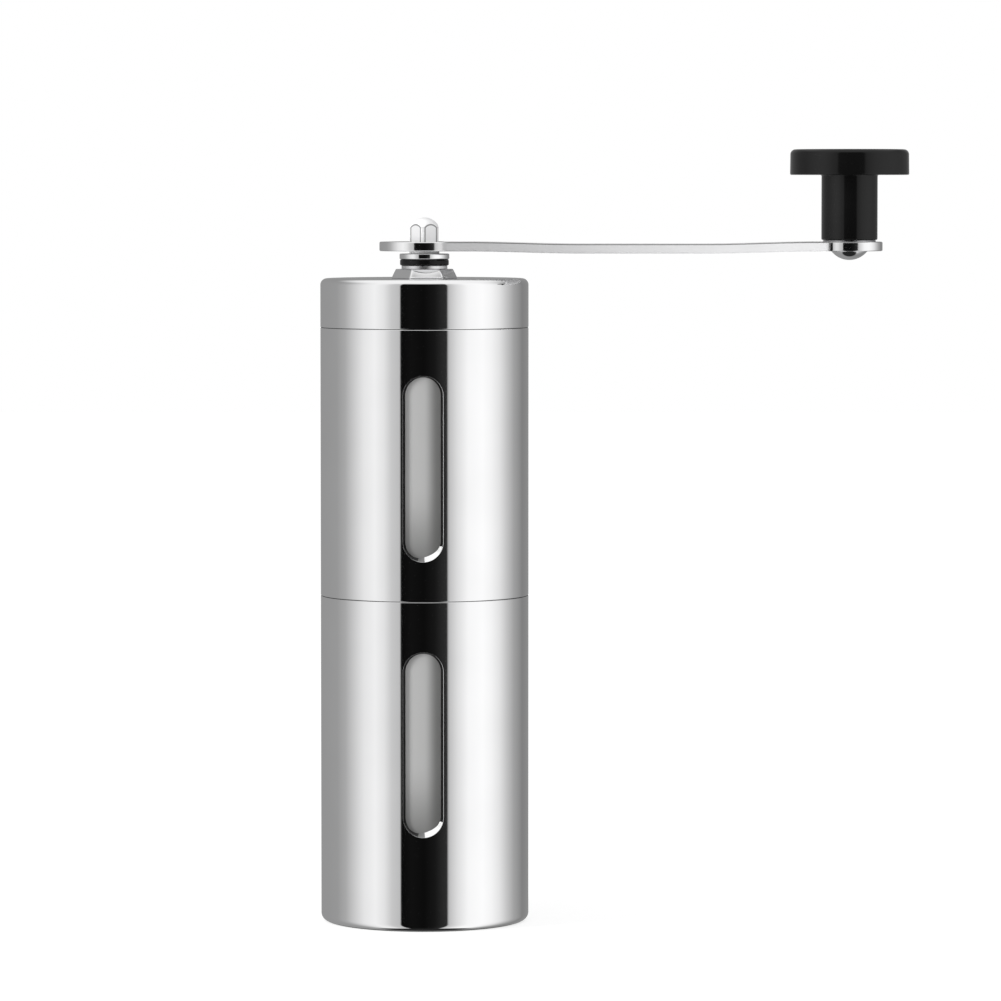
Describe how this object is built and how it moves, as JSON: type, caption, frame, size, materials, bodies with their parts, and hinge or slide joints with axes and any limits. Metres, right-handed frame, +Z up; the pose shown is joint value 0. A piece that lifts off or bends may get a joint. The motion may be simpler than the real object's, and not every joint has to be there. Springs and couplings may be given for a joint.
{
  "type": "hand crank coffee grinder",
  "caption": "Slim steel hand coffee grinder: windowed jar and hopper, conical ceramic burrs with a grind dial, push-on lid, flat crank arm with a T-shaped knob.",
  "frame": {"origin": "centre of the flat base that the grinder stands on", "axes": "+Z up along the cylinder and the shaft; the windows face -Y; the crank arm points along +X at rest"},
  "size_m": [0.1385, 0.049, 0.182],
  "materials": {
    "polished_steel": "mirror-polished stainless steel with faint hairlines",
    "plain_steel": "plain turned or stamped stainless steel",
    "frosted_plastic": "translucent frosted plastic",
    "dark_plastic": "satin moulded plastic",
    "black_gloss": "glossy moulded plastic",
    "black_rubber": "smooth silicone rubber",
    "white_ceramic": "unglazed sintered ceramic",
    "bush_brass": "turned brass"
  },
  "bodies": {
    "jar": {"jar_sleeve": "polished_steel", "jar_liner": "frosted_plastic"},
    "mill_body": {"mill_sleeve": "polished_steel", "hopper": "frosted_plastic", "burr_housing": "dark_plastic", "neck_ring": "black_rubber", "outer_burr": "white_ceramic", "burr_retainer": "plain_steel", "burr_screws": "plain_steel", "shaft_bush": "bush_brass"},
    "lid": {"lid_shell": "polished_steel", "lid_insert": "dark_plastic", "lid_bush": "plain_steel", "lid_nut": "polished_steel", "lid_washer": "polished_steel", "seal_ring": "black_rubber", "bush_collar": "polished_steel"},
    "spindle": {"drive_shaft": "polished_steel", "thrust_washer": "plain_steel", "spring": "plain_steel", "spring_washer": "plain_steel"},
    "crank": {"crank_arm": "polished_steel", "knob_axle": "polished_steel", "knob_washer": "plain_steel", "knob_clip": "plain_steel"},
    "knob": {"knob_body": "black_gloss", "knob_cap": "black_gloss"},
    "inner_burr_set": {"inner_burr": "white_ceramic", "burr_driver": "plain_steel"},
    "dial": {"adjust_dial": "dark_plastic", "dial_nut": "bush_brass"}
  },
  "joints": [
    {"name": "upper_lift", "type": "slide", "parent": "jar", "child": "mill_body", "axis": [0, 0, 1], "range_m": [0, 0.035]},
    {"name": "lid_lift", "type": "slide", "parent": "mill_body", "child": "lid", "axis": [0, 0, 1], "range_m": [0, 0.025]},
    {"name": "crank_turn", "type": "hinge", "parent": "mill_body", "child": "spindle", "pos_m": [0, 0, 0.091], "axis": [0, 0, 1], "continuous": true},
    {"name": "arm_lift", "type": "slide", "parent": "spindle", "child": "crank", "axis": [0, 0, 1], "range_m": [0, 0.05]},
    {"name": "knob_spin", "type": "hinge", "parent": "crank", "child": "knob", "pos_m": [0.1, 0, 0.169], "axis": [0, 0, 1], "continuous": true},
    {"name": "burr_travel", "type": "slide", "parent": "spindle", "child": "inner_burr_set", "axis": [0, 0, -1], "range_m": [0, 0.001], "deforming": ["spring"]},
    {"name": "dial_turn", "type": "hinge", "parent": "inner_burr_set", "child": "dial", "pos_m": [0, 0, 0.058], "axis": [0, 0, -1], "range_deg": [0, 360]}
  ],
  "couplings": [
    {"joint": "lid_lift", "follows": "arm_lift", "ratio": 0.5},
    {"joint": "burr_travel", "follows": "dial_turn", "m_per_rad": 0.000159}
  ]
}
